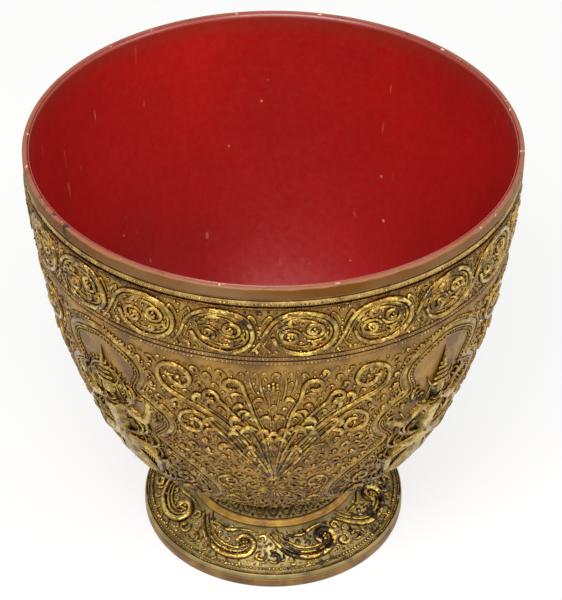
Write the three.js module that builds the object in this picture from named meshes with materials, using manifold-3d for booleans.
// Footed offering bowl of coiled split bamboo, gilt outside and red lacquered inside.
// Millimetres, Z up, origin on the floor under the middle of the foot.
// Azimuth 0 is the front (-Y); it grows towards +X.
import * as THREE from 'three';
import { mergeVertices } from 'three/addons/utils/BufferGeometryUtils.js';
import Module from 'manifold-3d';

const wasm = await Module();
wasm.setup();

// Overall sizes
const bowlHeight = 252;
const mouthRadius = 130;
const footHeight = 48.6;
const footRadius = 75;
const seatGap = 0.3;

// Coiled wall of the bowl and the curve of its outside
const wallThickness = 1.6;
const baseRadius = 46;
const wallFullness = 1.187;
const wallRoundness = 0.536;
const liningThickness = 0.5;
const liningSetback = 0.3;

// Hoop that binds the mouth
const hoopThickness = 0.8;
const hoopHeight = 6.3;
const lipThickness = 0.9;
const lipRounding = 0.35;

// Courses round the wall, each starting so far below the lip
const upperBeadDepth = 6.7;
const upperBeadWidth = 3.4;
const upperLineDepth = 10.5;
const upperLineWidth = 1.7;
const friezeDepth = 12.7;
const friezeWidth = 29.6;
const lowerBeadDepth = 43;
const lowerBeadWidth = 2.6;
const lowerBeadPitch = 3;
const panelDepth = 53.2;
const panelHeight = 142;
const beadRise = 1.1;

// Relief counts round the bowl and the foot; the first roundel and the first foot scroll
// stand these shares of their cells from the front
const roundelCount = 20;
const roundelStart = -0.66;
const roundelAspect = 1.365;
const panelCount = 4;
const footScrollCount = 8;
const footScrollStart = 0.42;
const petalCount = 36;

// Relief strokes, laid as rolled strips of putty; a running scroll takes its widths
// from its cell, in these shares of the cell's width
const vineShare = 0.079;
const leafShare = 0.089;
const footVineShare = 0.062;
const footLeafShare = 0.074;
const vineRise = 1.5;
const leafRise = 1.4;
const tipWidth = 1;
const frameWidth = 3.6;
const frameRise = 1.7;
const frondWidth = 4.4;
const stemWidth = 3;
const stemRise = 1.3;
const whorlRadius = 10;
const floretRadius = 4.5;
const knotRadius = 6;
const rosetteRadius = 6.5;
const rosetteRise = 2.2;
const rosettePetals = 7;
const rosettePetalWidth = 6.4;
const rosettePetalLength = 13;
const rosetteFan = 210;
const sidePetalLoss = 0.45;

// Figure in a cartouche
const limbRise = 3.4;
const headRadius = 7.5;
const crownWidth = 16;
const shoulderWidth = 24;
const hipWidth = 18;
const thighWidth = 14;
const armWidth = 10;
const wristWidth = 5;
const pleatWidth = 13;

// Places in a panel, in shares of its width across and of its height up
const knotShare = 0.375;
const rosetteShare = 0.27;
const stemLean = 0.05;
const stemShare = 0.82;
const floretShare = 0.93;
const whorlReach = 0.2;
const whorlShares = [0.67, 0.9];
const frondBend = 0.055;

// Foot: a coiled ring with an upright edge, a sloping shoulder and a straight neck
const neckRadius = 43.5;
const footWall = 3;
const shoulderRadius = 48.8;
const shoulderHeight = 21.1;
const edgeHeight = 8.2;
const edgeBandThickness = 1.2;
const edgeBandHeight = 9;
const edgeBandSwell = 0.4;
const footBeadWidth = 2.4;
const footBeadMargin = 2.2;
const footScrollMargin = 2.4;
const footScrollGap = 0.8;
const footVineRise = 1.2;
const coveRingRise = 0.8;
const coveRingMargin = 1.2;
const petalTop = 3;
const petalLength = 15;
const petalNotch = 4.5;
const petalRise = 1.9;
const petalLipRise = 0.7;

// Fineness of the faceted solids
const turns = 40;
const wallSteps = 8;
const coveSteps = 4;
const tableSteps = 600;
const coveTableSteps = 60;

const gilt = { color: 0x9a7a3a, roughness: 0.42, metalness: 0.55 };
const agedGilt = { color: 0x86683a, roughness: 0.5, metalness: 0.45 };
const plainGilt = { color: 0x8b5f2a, roughness: 0.45, metalness: 0.4 };
const redLacquer = { color: 0x8e160e, roughness: 0.25, metalness: 0 };
const bareLip = { color: 0xa8704a, roughness: 0.5, metalness: 0.1 };
const darkGilt = { color: 0x5c3a18, roughness: 0.55, metalness: 0.35 };

const bowl = new THREE.Group();

function addPiece(name, geometry, finish) {
  const mesh = new THREE.Mesh(geometry, new THREE.MeshStandardMaterial(finish));
  mesh.name = name;
  bowl.add(mesh);
}

const point = (x, y) => new THREE.Vector2(x, y);
const degrees = THREE.MathUtils.degToRad;

// The gilt ground outside the wall: a flat base, then a full round curve up to the lip
const groundRadius = mouthRadius - hoopThickness - seatGap;
const wallTop = bowlHeight - lipThickness - seatGap;
const wallBottom = footHeight + seatGap;
const firstTurn = Math.asin((baseRadius / groundRadius) ** (1 / wallRoundness));

function wallPoint(share) {
  const turn = firstTurn + (Math.PI / 2 - firstTurn) * share;
  const drop = (Math.max(0, Math.cos(turn)) / Math.cos(firstTurn)) ** wallFullness;
  return point(
    groundRadius * Math.sin(turn) ** wallRoundness,
    wallTop - (wallTop - wallBottom) * drop,
  );
}

// A revolved surface that relief lies on; places on it are distances down from its upper end
class Ground {
  constructor(points) {
    this.points = points;
    this.distances = [0];
    for (let i = 1; i < points.length; i++) {
      this.distances.push(this.distances[i - 1] + points[i].distanceTo(points[i - 1]));
    }
  }

  // The place so far down, lifted off the surface by rise
  at(down, rise = 0) {
    const past = this.distances.findIndex((distance) => distance > down);
    const next = past < 0 ? this.points.length - 1 : Math.max(1, past);
    const upper = this.points[next - 1];
    const along = this.points[next].clone().sub(upper).normalize();
    const outward = point(-along.y, along.x);
    const place = upper.clone().addScaledVector(along, down - this.distances[next - 1]);
    return place.addScaledVector(outward, rise);
  }
}

const wallShares = Array.from({ length: tableSteps + 1 }, (_, i) => 1 - i / tableSteps);
const wallGround = new Ground(wallShares.map(wallPoint));

// Outside of the foot, from the top of its neck down to its upright edge
const footCoreRadius = footRadius - edgeBandThickness - seatGap;
const slope = (shoulderHeight - edgeHeight) / (footCoreRadius - shoulderRadius);
const coveCorner = point(neckRadius, shoulderHeight + slope * (shoulderRadius - neckRadius));
const coveReach = coveCorner.distanceTo(point(shoulderRadius, shoulderHeight));
const coveTop = point(neckRadius, coveCorner.y + coveReach);
const neckTop = point(neckRadius, footHeight);
const cove = new THREE.QuadraticBezierCurve(
  coveTop,
  coveCorner,
  point(shoulderRadius, shoulderHeight),
);
const footEdge = point(footCoreRadius, edgeHeight);
const footGround = new Ground([neckTop, ...cove.getSpacedPoints(coveTableSteps), footEdge]);
const coveStart = neckTop.distanceTo(coveTop);
const slopeStart = coveStart + cove.getLength();
const slopeLength = footEdge.distanceTo(point(shoulderRadius, shoulderHeight));
const footBeadDown = slopeStart + slopeLength - footBeadMargin - footBeadWidth;

// Revolves a profile that runs up its outside; profiles off the axis close on themselves
function revolve(profile, segments = turns) {
  const geometry = new THREE.LatheGeometry(profile, segments);
  geometry.rotateX(Math.PI / 2);
  return geometry;
}

// A course round a ground, a gap off its surface: its face goes through the given rises,
// and its back follows a hollow ground through the given number of places
function course(ground, down, width, rises, backPlaces = 0) {
  const last = rises.length - 1;
  const profile = rises.map((rise, i) => ground.at(down + width * (1 - i / last), seatGap + rise));
  for (let i = 1; i <= backPlaces; i++) {
    profile.push(ground.at(down + (width * i) / (backPlaces + 1), seatGap));
  }
  profile.push(profile[0].clone());
  return revolve(profile);
}

// Wall curve set inwards by a depth, from the lip down to the middle of the base
function insetWall(depth) {
  const inset = [];
  for (let i = 0; i <= wallSteps; i++) {
    const down = wallGround.distances[Math.round((i / wallSteps) * tableSteps)];
    inset.push(wallGround.at(down, -depth));
  }
  inset.push(point(0, wallBottom + depth));
  return inset;
}

function makeBowlCore() {
  const outside = [point(0, wallBottom)];
  for (let i = 0; i <= wallSteps; i++) outside.push(wallPoint(i / wallSteps));
  return revolve([...outside, ...insetWall(wallThickness)]);
}

function makeRedLining() {
  const back = insetWall(wallThickness + seatGap).reverse();
  const front = insetWall(wallThickness + seatGap + liningThickness);
  const top = bowlHeight - liningSetback;
  back[back.length - 1].y = top;
  front[0].y = top;
  return revolve([...back, ...front]);
}

function makeRimHoop() {
  const bottom = bowlHeight - hoopHeight;
  const inside = groundRadius + seatGap;
  const lipInside = groundRadius - wallThickness;
  const underLip = wallTop + seatGap;
  return revolve([
    point(inside, bottom),
    point(mouthRadius, bottom),
    point(mouthRadius, bowlHeight - lipRounding),
    point(mouthRadius - lipRounding, bowlHeight),
    point(lipInside, bowlHeight),
    point(lipInside, underLip),
    point(inside, underLip),
    point(inside, bottom),
  ]);
}

// Closed ridge of triangular section along a path in the drawing plane: x across, y up, z out.
// Its widths at the start, middle and end blend smoothly.
function ridge(path, widths, rise, steps) {
  const widest = Math.max(...widths);
  const corners = [];
  for (let i = 0; i <= steps; i++) {
    const t = i / steps;
    const width = (1 - t) ** 2 * widths[0] + 2 * t * (1 - t) * widths[1] + t ** 2 * widths[2];
    corners.push(...section(path, t, width, rise * Math.sqrt(width / widest)));
  }
  const faces = ridgeSides(steps, steps + 1);
  const end = steps * 3;
  faces.push(0, 1, 2, end, end + 2, end + 1);
  return drawnSolid(corners, faces);
}

// Closed ridge that runs round a loop of evenly numbered points
function ridgeLoop(path, width, rise, steps) {
  const corners = [];
  for (let i = 0; i < steps; i++) corners.push(...section(path, i / steps, width, rise));
  return drawnSolid(corners, ridgeSides(steps, steps));
}

// Right foot, crest and left foot of a ridge at one place on its path
function section(path, t, width, rise) {
  const centre = path.getPoint(t);
  const along = path.getTangent(t);
  const side = point(-along.y, along.x).multiplyScalar(width / 2);
  return [
    [centre.x - side.x, centre.y - side.y, 0],
    [centre.x, centre.y, rise],
    [centre.x + side.x, centre.y + side.y, 0],
  ];
}

function ridgeSides(steps, sections) {
  const faces = [];
  for (let i = 0; i < steps; i++) {
    const here = i * 3;
    const next = ((i + 1) % sections) * 3;
    for (let k = 0; k < 3; k++) {
      const other = (k + 1) % 3;
      faces.push(here + k, next + k, here + other);
      faces.push(next + k, next + other, here + other);
    }
  }
  return faces;
}

function drawnSolid(corners, faces) {
  const geometry = new THREE.BufferGeometry();
  geometry.setAttribute('position', new THREE.Float32BufferAttribute(corners.flat(), 3));
  geometry.setIndex(faces);
  return geometry;
}

// Round bead or boss in the drawing plane
function boss(centre, radius, rise, sides = 6) {
  const profile = [point(0, 0), point(radius, 0), point(radius * 0.7, rise * 0.7), point(0, rise)];
  const geometry = revolve(profile, sides);
  geometry.translate(centre.x, centre.y, 0);
  return geometry;
}

function toSolid(geometry) {
  const bare = geometry.clone();
  bare.deleteAttribute('normal');
  bare.deleteAttribute('uv');
  const welded = mergeVertices(bare, 1e-4);
  return new wasm.Manifold(new wasm.Mesh({
    numProp: 3,
    vertProperties: new Float32Array(welded.attributes.position.array),
    triVerts: new Uint32Array(welded.index.array),
  }));
}

// Joins overlapping strokes into one body
function fuse(strokes) {
  const solid = strokes.map(toSolid).reduce((whole, stroke) => whole.add(stroke));
  const mesh = solid.getMesh();
  const geometry = new THREE.BufferGeometry();
  geometry.setAttribute('position', new THREE.Float32BufferAttribute(mesh.vertProperties, 3));
  geometry.setIndex([...mesh.triVerts]);
  return geometry;
}

// Lays a flat drawing on a ground, its origin at an azimuth and a distance down
function lay(drawing, ground, azimuth, down, radius) {
  const geometry = drawing.clone();
  const place = geometry.attributes.position;
  for (let i = 0; i < place.count; i++) {
    const spot = ground.at(down - place.getY(i), seatGap + place.getZ(i));
    const angle = azimuth + place.getX(i) / radius;
    place.setXYZ(i, spot.x * Math.sin(angle), -spot.x * Math.cos(angle), spot.y);
  }
  return geometry;
}

// Widths of a leaf: narrow at its root, full in the middle, pointed at its tip
const leafWidths = (width) => [width / 2, width, tipWidth];

// Widths of a vine: slim where it springs, full to its curled end
const vineWidths = (width) => [width * 0.7, width * 1.2, width * 1.1];

// Smooth path through points given in shares of a cell, from an anchor where one is given
function pathThrough(shares, width, height, anchor) {
  const points = shares.map(([x, y]) => point(x * width, y * height));
  return new THREE.SplineCurve(anchor ? [anchor, ...points] : points);
}

// Oval spiral from a start angle, turning by a sweep, both in degrees, while it shrinks to a
// share of its size; delay keeps the first turn wide, flare swings the start outwards
class OvalSpiral extends THREE.Curve {
  constructor(centre, halfWidth, halfHeight, { start, sweep, shrink, delay = 1, flare = 0 }) {
    super();
    Object.assign(this, { centre, halfWidth, halfHeight, start, sweep, shrink, delay, flare });
  }

  getPoint(t, target = new THREE.Vector2()) {
    const size = 1 - (1 - this.shrink) * t ** this.delay + this.flare * (1 - t) ** 8;
    const angle = degrees(this.start + this.sweep * t);
    return target.set(
      this.centre.x + this.halfWidth * size * Math.cos(angle),
      this.centre.y + this.halfHeight * size * Math.sin(angle),
    );
  }

  getTangent(t) {
    const step = 1e-3;
    const before = this.getPoint(Math.max(0, t - step));
    const after = this.getPoint(Math.min(1, t + step));
    return after.sub(before).normalize();
  }
}

const numbered = (name, i, digits = 1) => `${name}_${String(i + 1).padStart(digits, '0')}`;

// One running scroll of the frieze: the stem comes up from the left, turns over and curls in
function drawRoundel(width, height) {
  const whirl = { start: 222, sweep: -600, shrink: 0.2, delay: 1.5, flare: 0.14 };
  const centre = point(-0.01 * width, height / 2);
  const spiral = new OvalSpiral(centre, width * 0.42, height * 0.44, whirl);
  const leaf = (t, shares) => {
    const path = pathThrough(shares, width, height, spiral.getPoint(t));
    return ridge(path, leafWidths(width * leafShare), leafRise, 2);
  };
  return fuse([
    ridge(spiral, vineWidths(width * vineShare), vineRise, 16),
    leaf(0.28, [[0.34, 0.96], [0.44, 0.84], [0.4, 0.74]]),
    leaf(0.47, [[0.3, 0.07], [0.43, 0.1], [0.44, 0.26]]),
    leaf(0.62, [[-0.3, 0.5], [-0.24, 0.72], [-0.1, 0.78]]),
  ]);
}

function addFrieze() {
  const middle = wallGround.at(friezeDepth + friezeWidth / 2).x;
  const pitch = (2 * Math.PI) / roundelCount;
  const width = Math.min(middle * pitch, friezeWidth * roundelAspect);
  const height = width / roundelAspect;
  const drawing = drawRoundel(width, height);
  const down = friezeDepth + (friezeWidth + height) / 2;
  for (let i = 0; i < roundelCount; i++) {
    const azimuth = (roundelStart + i) * pitch;
    const roundel = lay(drawing, wallGround, azimuth, down, middle);
    addPiece(numbered('frieze_roundel', i, 2), roundel, gilt);
  }
}

const panelRadius = wallGround.at(panelDepth + panelHeight / 2).x;
const panelCell = (2 * Math.PI * panelRadius) / panelCount;
const panelFloor = panelDepth + panelHeight;
const panelPlace = ([x, y]) => point(x * panelCell, y * panelHeight);

// Cusped frame of a cartouche: three lobes a side that rise from a flat foot to a point
function drawFrame() {
  const lobes = [
    [[0, 0.01], [0.14, 0.015], [0.25, 0.06]],
    [[0.25, 0.06], [0.3, 0.26], [0.145, 0.5]],
    [[0.145, 0.5], [0.2, 0.64], [0.11, 0.75]],
    [[0.11, 0.75], [0.125, 0.9], [0, 1]],
  ];
  const loop = new THREE.CurvePath();
  for (const [from, through, to] of lobes) loop.add(lobe(from, through, to));
  for (const [from, through, to] of lobes.reverse()) {
    loop.add(lobe(mirrored(to), mirrored(through), mirrored(from)));
  }
  return fuse([ridgeLoop(loop, frameWidth, frameRise, 30)]);
}

const mirrored = ([x, y]) => [-x, y];

function lobe(from, through, to) {
  const [start, middle, end] = [from, through, to].map(panelPlace);
  const control = middle.multiplyScalar(2).addScaledVector(start, -0.5).addScaledVector(end, -0.5);
  return new THREE.QuadraticBezierCurve(start, control, end);
}

// Both hands of a stroke that is drawn for the right-hand side
function pair(shares, widths, rise, steps) {
  const hands = [shares, shares.map(mirrored)];
  return hands.map((hand) => ridge(pathThrough(hand, panelCell, panelHeight), widths, rise, steps));
}

// Stroke on the middle line of a panel
function upright(from, to, widths, rise) {
  const path = new THREE.LineCurve(panelPlace([0, from]), panelPlace([0, to]));
  return ridge(path, widths, rise, 2);
}

// Crowned dancer in high relief: bent knees, flared skirt, raised hands, tall pointed crown
function drawFigure() {
  const leg = [[0.03, 0.44], [0.11, 0.37], [0.075, 0.25], [0.12, 0.14]];
  const arm = [[0.03, 0.62], [0.1, 0.55], [0.15, 0.68]];
  const pleat = [[0.01, 0.47], [0.02, 0.3], [0.045, 0.13]];
  const sash = [[0.03, 0.46], [0.09, 0.46], [0.12, 0.54]];
  return fuse([
    upright(0.42, 0.66, [hipWidth, hipWidth / 2, shoulderWidth], limbRise),
    boss(panelPlace([0, 0.69]), headRadius, limbRise, 8),
    upright(0.72, 0.9, [crownWidth, crownWidth / 2, tipWidth], limbRise * 0.8),
    ...pair(pleat, [pleatWidth / 2, pleatWidth, pleatWidth], limbRise * 0.5, 4),
    ...pair(leg, [thighWidth, thighWidth, thighWidth / 2], limbRise, 4),
    ...pair(arm, [armWidth, armWidth, wristWidth], limbRise * 0.8, 3),
    ...pair(sash, [armWidth, armWidth, tipWidth], limbRise * 0.6, 3),
  ]);
}

// Frond that arches from the knot up to one hand and curls into a whorl at a height
function drawFrond(hand, height) {
  const whirl = { start: 90 + hand * 80, sweep: hand * -450, shrink: 0.3 };
  const centre = panelPlace([hand * whorlReach, height]);
  const whorl = new OvalSpiral(centre, whorlRadius, whorlRadius, whirl);
  const bend = panelPlace([hand * frondBend, (knotShare + height) / 2]);
  const stem = new THREE.SplineCurve([panelPlace([0, knotShare]), bend, whorl.getPoint(0)]);
  return [
    ridge(stem, [frondWidth / 2, frondWidth, frondWidth], stemRise, 4),
    ridge(whorl, [frondWidth, frondWidth, frondWidth], stemRise, 9),
  ];
}

// Spray of foliage: stems and fronds fan from a knot, the middle stem up to a floret
function drawSpray() {
  const knot = panelPlace([0, knotShare]);
  const floret = panelPlace([0, floretShare]);
  const strokes = [boss(knot, knotRadius, stemRise), boss(floret, floretRadius, stemRise)];
  const tips = [[-stemLean, stemShare], [0, floretShare], [stemLean, stemShare]];
  for (const tip of tips) {
    const stem = new THREE.LineCurve(knot, panelPlace(tip));
    strokes.push(ridge(stem, leafWidths(stemWidth), stemRise, 4));
  }
  for (const height of whorlShares) {
    strokes.push(...drawFrond(-1, height), ...drawFrond(1, height));
  }
  return fuse(strokes);
}

// Rosette at the foot of a spray, with a fan of long petals below it
function drawRosette() {
  const strokes = [boss(point(0, 0), rosetteRadius, rosetteRise, 7)];
  const ray = (turn, reach) => point(reach * Math.cos(turn), reach * Math.sin(turn));
  for (let i = 0; i < rosettePetals; i++) {
    const turn = degrees(-90 + rosetteFan * (i / (rosettePetals - 1) - 0.5));
    const droop = 1 - sidePetalLoss * Math.abs(Math.cos(turn));
    const reach = rosetteRadius + rosettePetalLength * droop;
    const petal = new THREE.LineCurve(ray(turn, rosetteRadius * 0.8), ray(turn, reach));
    strokes.push(ridge(petal, leafWidths(rosettePetalWidth), stemRise, 2));
  }
  return fuse(strokes);
}

function addPanels() {
  const quarter = (2 * Math.PI) / panelCount;
  const frame = drawFrame();
  const figure = drawFigure();
  const spray = drawSpray();
  const rosette = drawRosette();
  const rosetteDown = panelFloor - panelHeight * rosetteShare;
  for (let i = 0; i < panelCount; i++) {
    const front = i * quarter;
    const between = (i + 0.5) * quarter;
    const put = (name, drawing, azimuth, down) => {
      addPiece(numbered(name, i), lay(drawing, wallGround, azimuth, down, panelRadius), gilt);
    };
    put('cartouche_frame', frame, between, panelFloor);
    put('cartouche_figure', figure, between, panelFloor);
    put('foliage_spray', spray, front, panelFloor);
    put('spray_rosette', rosette, front, rosetteDown);
  }
}

function makeFootCore() {
  const coveOutside = cove.getSpacedPoints(coveSteps).reverse();
  const inset = (down) => footGround.at(down, -footWall);
  const coveInside = [inset(coveStart), inset((coveStart + slopeStart) / 2), inset(slopeStart)];
  const insideRadius = footCoreRadius - footWall;
  const underSlope = coveInside[2];
  const insideCorner = point(insideRadius, underSlope.y - slope * (insideRadius - underSlope.x));
  return revolve([
    point(insideRadius, 0),
    point(footCoreRadius, 0),
    footEdge,
    ...coveOutside,
    neckTop,
    inset(0),
    ...coveInside,
    insideCorner,
    point(insideRadius, 0),
  ]);
}

// Band round the foot's edge, clear of the floor so that the core stands on it
function makeEdgeBand() {
  const inside = footCoreRadius + seatGap;
  return revolve([
    point(inside, seatGap),
    point(footRadius - edgeBandSwell, seatGap),
    point(footRadius, edgeBandHeight / 2),
    point(footRadius - edgeBandSwell / 2, edgeBandHeight - edgeBandSwell),
    point(inside + edgeBandSwell / 2, edgeBandHeight),
    point(inside, edgeBandHeight - edgeBandSwell),
    point(inside, seatGap),
  ]);
}

// Ring of petals that hang round the neck: every second column is a notch between two petals
function makePetalRing() {
  const columns = petalCount * 2;
  const petalDown = petalTop + petalLength;
  const profile = [
    footGround.at(petalDown, seatGap),
    footGround.at(petalDown, seatGap + petalRise),
    footGround.at(petalTop, seatGap + petalLipRise),
    footGround.at(petalTop, seatGap),
    footGround.at(petalDown, seatGap),
  ];
  const geometry = revolve(profile, columns);
  const place = geometry.attributes.position;
  const pinch = (neckRadius + seatGap + petalLipRise) / (neckRadius + seatGap + petalRise);
  for (let column = 1; column < columns; column += 2) {
    for (const corner of [0, 1, 4]) {
      const i = column * profile.length + corner;
      const squeeze = corner === 1 ? pinch : 1;
      place.setXYZ(i, place.getX(i) * squeeze, place.getY(i) * squeeze, place.getZ(i) + petalNotch);
    }
  }
  return geometry;
}

// Running scroll of the foot: it sweeps down from the left, turns under and curls back
function drawFootScroll(width, height) {
  const whirl = { start: 160, sweep: 500, shrink: 0.2, delay: 1.3, flare: 0.2 };
  const centre = point(0.02 * width, height * 0.52);
  const spiral = new OvalSpiral(centre, width * 0.37, height * 0.4, whirl);
  const tail = pathThrough([[0.4, 0.3], [0.46, 0.8]], width, height, spiral.getPoint(0.32));
  return fuse([
    ridge(spiral, vineWidths(width * footVineShare), footVineRise, 13),
    ridge(tail, leafWidths(width * footLeafShare), footVineRise, 2),
  ]);
}

function addFootScrolls() {
  const down = footBeadDown - footScrollGap;
  const height = down - slopeStart - footScrollMargin;
  const middle = footGround.at(down - height / 2).x;
  const pitch = (2 * Math.PI) / footScrollCount;
  const drawing = drawFootScroll(middle * pitch, height);
  for (let i = 0; i < footScrollCount; i++) {
    const azimuth = (footScrollStart + i) * pitch;
    const scroll = lay(drawing, footGround, azimuth, down, middle);
    addPiece(numbered('foot_scroll', i), scroll, agedGilt);
  }
}

// Rises across a course: a single bead, a broad bead and a flat ring
const bead = [0, beadRise, 0];
const broadBead = [0, beadRise, beadRise, 0];
const coveFace = [0, coveRingRise, coveRingRise, 0];
const coveRingDown = coveStart + coveRingMargin;
const coveRingWidth = slopeStart - coveStart - coveRingMargin;

addPiece('bowl_core', makeBowlCore(), gilt);
addPiece('red_lining', makeRedLining(), redLacquer);
addPiece('rim_hoop', makeRimHoop(), bareLip);
addPiece('upper_bead_ring', course(wallGround, upperBeadDepth, upperBeadWidth, broadBead), gilt);
addPiece('upper_line_ring', course(wallGround, upperLineDepth, upperLineWidth, bead), gilt);
addFrieze();
for (let i = 0; i < 2; i++) {
  const down = lowerBeadDepth + i * lowerBeadPitch;
  addPiece(numbered('lower_bead_ring', i), course(wallGround, down, lowerBeadWidth, bead), gilt);
}
addPanels();
addPiece('neck_petal_ring', makePetalRing(), darkGilt);
addPiece('foot_core', makeFootCore(), agedGilt);
addPiece('foot_cove_ring', course(footGround, coveRingDown, coveRingWidth, coveFace, 2), plainGilt);
addFootScrolls();
const footBeads = course(footGround, footBeadDown, footBeadWidth, bead);
addPiece('foot_bead_ring', footBeads, agedGilt);
addPiece('foot_edge_band', makeEdgeBand(), plainGilt);

export default bowl;
